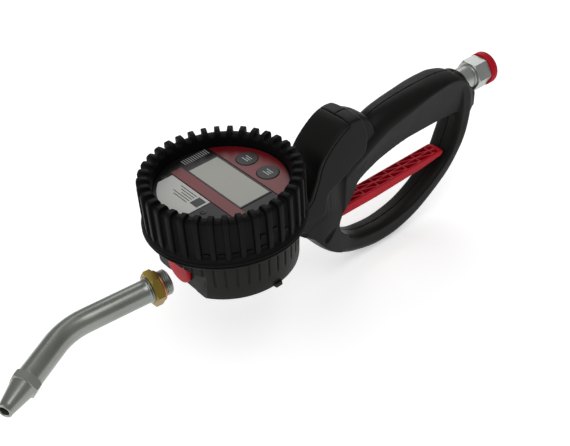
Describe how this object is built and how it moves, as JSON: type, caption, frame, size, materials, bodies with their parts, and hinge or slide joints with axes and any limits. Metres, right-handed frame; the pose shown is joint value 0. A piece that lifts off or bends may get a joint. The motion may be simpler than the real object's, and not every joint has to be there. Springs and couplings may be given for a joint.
{
  "type": "fuel nozzle",
  "caption": "Hand-held oil dispensing gun with a ribbed rubber-bezel digital meter, crimson trigger and caps, hose swivel, and its bent spout lying apart in front of the outlet",
  "frame": {"origin": "centre of the inlet swivel's end face", "axes": "+X out of the inlet towards the hose, +Y to the gun's left side, +Z the way the display faces"},
  "size_m": [0.5073, 0.1264, 0.1528],
  "materials": {
    "handle_black": "lightly textured moulding",
    "housing_grey": "matte glass-filled moulding",
    "rubber_black": "matte",
    "red": "satin crimson",
    "face_red": "printed film",
    "label": "blank printed film",
    "lens": "clear window over a grey-green display",
    "lcd_grey": "display cell",
    "board_green": "solder mask",
    "rotor_grey": "moulded rotor",
    "steel": "plain",
    "aluminium": "cast and machined",
    "zinc": "zinc plated steel, satin",
    "yellow_zinc": "yellow passivated zinc",
    "brass": "turned",
    "copper": "soft copper"
  },
  "bodies": {
    "gun": {"grip_shell_left": "handle_black", "grip_shell_right": "handle_black", "front_cover": "handle_black", "handle_screws": "steel", "trigger_pivot_pin": "steel", "valve_body": "aluminium", "valve_seat": "brass", "stem_seal": "rubber_black", "valve_cap": "brass", "valve_spring": "steel", "inlet_strainer": "steel", "meter_body": "housing_grey", "chamber_cover": "aluminium", "chamber_seal": "rubber_black", "cover_screws": "steel", "gear_shafts": "steel", "display_case": "housing_grey", "case_screws": "steel", "circuit_board": "board_green", "lcd_module": "lcd_grey", "batteries": "steel", "battery_tray": "housing_grey", "face_panel": "handle_black", "window_lens": "lens", "red_overlay": "face_red", "name_plate": "label", "rubber_bezel": "rubber_black"},
    "trigger": {"trigger": "red"},
    "valve_stem": {"valve_stem": "steel", "poppet_seal": "rubber_black"},
    "swivel": {"inlet_swivel": "zinc", "swivel_seals": "rubber_black", "swivel_circlip": "steel"},
    "inlet_cap": {"inlet_cap": "red"},
    "outlet_plug": {"outlet_plug": "red"},
    "rotor_a": {"oval_gear_a": "rotor_grey", "gear_magnets": "steel"},
    "rotor_b": {"oval_gear_b": "rotor_grey"},
    "button_near": {"button_near": "handle_black"},
    "button_far": {"button_far": "handle_black"},
    "spout": {"spout_tube": "zinc", "copper_washer": "copper", "nozzle_tip": "zinc", "poppet_guide": "steel"},
    "lock_nut": {"lock_nut": "yellow_zinc"},
    "drip_poppet": {"drip_poppet": "brass", "drip_spring": "steel"}
  },
  "joints": [
    {"name": "trigger_pull", "type": "hinge", "parent": "gun", "child": "trigger", "pos_m": [-0.201, 0, -0.066], "axis": [0, -1, 0], "range_deg": [0, 11], "stiffness_Nm_per_rad": 0.6, "springref_deg": -5.73},
    {"name": "stem_lift", "type": "slide", "parent": "gun", "child": "valve_stem", "axis": [0, 0, 1], "range_m": [0, 0.0033], "deforming": ["valve_spring"]},
    {"name": "swivel_spin", "type": "hinge", "parent": "gun", "child": "swivel", "pos_m": [-0.03, 0, 0], "axis": [1, 0, 0], "continuous": true},
    {"name": "inlet_cap_pull", "type": "slide", "parent": "swivel", "child": "inlet_cap", "axis": [1, 0, 0], "range_m": [0, 0.06]},
    {"name": "outlet_plug_pull", "type": "slide", "parent": "gun", "child": "outlet_plug", "axis": [-1, 0, 0], "range_m": [0, 0.006]},
    {"name": "rotor_a_turn", "type": "hinge", "parent": "gun", "child": "rotor_a", "pos_m": [-0.291, 0.01562, -0.03], "axis": [0, 0, 1], "continuous": true},
    {"name": "rotor_b_turn", "type": "hinge", "parent": "gun", "child": "rotor_b", "pos_m": [-0.291, -0.01562, -0.03], "axis": [0, 0, 1], "continuous": true},
    {"name": "button_near_press", "type": "slide", "parent": "gun", "child": "button_near", "axis": [0, 0, -1], "range_m": [0, 0.0008], "stiffness_N_per_m": 400, "springref_m": -0.001},
    {"name": "button_far_press", "type": "slide", "parent": "gun", "child": "button_far", "axis": [0, 0, -1], "range_m": [0, 0.0008], "stiffness_N_per_m": 400, "springref_m": -0.001},
    {"name": "spout_apart", "type": "slide", "parent": "gun", "child": "spout", "axis": [-1, 0, 0], "range_m": [0, 0.05]},
    {"name": "lock_nut_spin", "type": "hinge", "parent": "spout", "child": "lock_nut", "pos_m": [-0.36526, -0.00645, -0.0315], "axis": [-0.9965, 0.0837, 0], "continuous": true},
    {"name": "drip_open", "type": "slide", "parent": "spout", "child": "drip_poppet", "axis": [0.8729, 0.4879, 0], "range_m": [0, 0.0015], "stiffness_N_per_m": 300, "springref_m": -0.002}
  ],
  "couplings": [
    {"joint": "stem_lift", "follows": "trigger_pull", "m_per_rad": 0.0168},
    {"joint": "rotor_b_turn", "follows": "rotor_a_turn", "ratio": -1}
  ]
}
